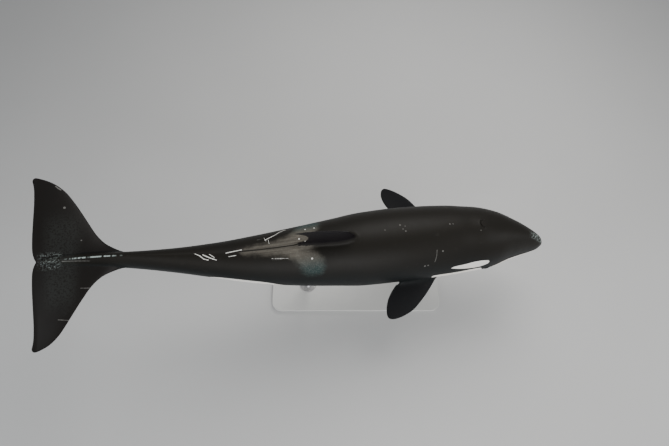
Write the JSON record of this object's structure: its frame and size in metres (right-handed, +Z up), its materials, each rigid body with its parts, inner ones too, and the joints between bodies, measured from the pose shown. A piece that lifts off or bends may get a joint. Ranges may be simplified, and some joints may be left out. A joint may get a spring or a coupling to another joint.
{
  "type": "orca model on display stand",
  "caption": "Life-size swimming orca with raised tail stock, spread flippers and a leaning curved dorsal fin, held over a flat base by upright rods.",
  "frame": {"origin": "on the floor, at the centre of the underside of the stand's base", "axes": "+X towards the snout, +Y to the animal's left, +Z up"},
  "size_m": [5.8506, 2.3439, 2.3705],
  "materials": {
    "skin_dark": "smooth wet skin, near-black with white and grey patches",
    "skin_white": "smooth wet skin, white",
    "eye": "glossy dark brown",
    "stand_paint": "matt light grey paint",
    "stand_steel": "brushed"
  },
  "bodies": {
    "root": {"head": "skin_dark", "lower_jaw": "skin_white", "chest": "skin_dark", "trunk": "skin_dark", "loin": "skin_dark", "tail_stock": "skin_dark", "dorsal_fin": "skin_dark", "fluke_left": "skin_dark", "fluke_right": "skin_dark", "flipper_left": "skin_dark", "flipper_right": "skin_dark", "eye_left": "eye", "eye_right": "eye", "stand_base": "stand_paint", "stand_rod_front": "stand_steel", "stand_rod_rear": "stand_steel"}
  },
  "joints": []
}
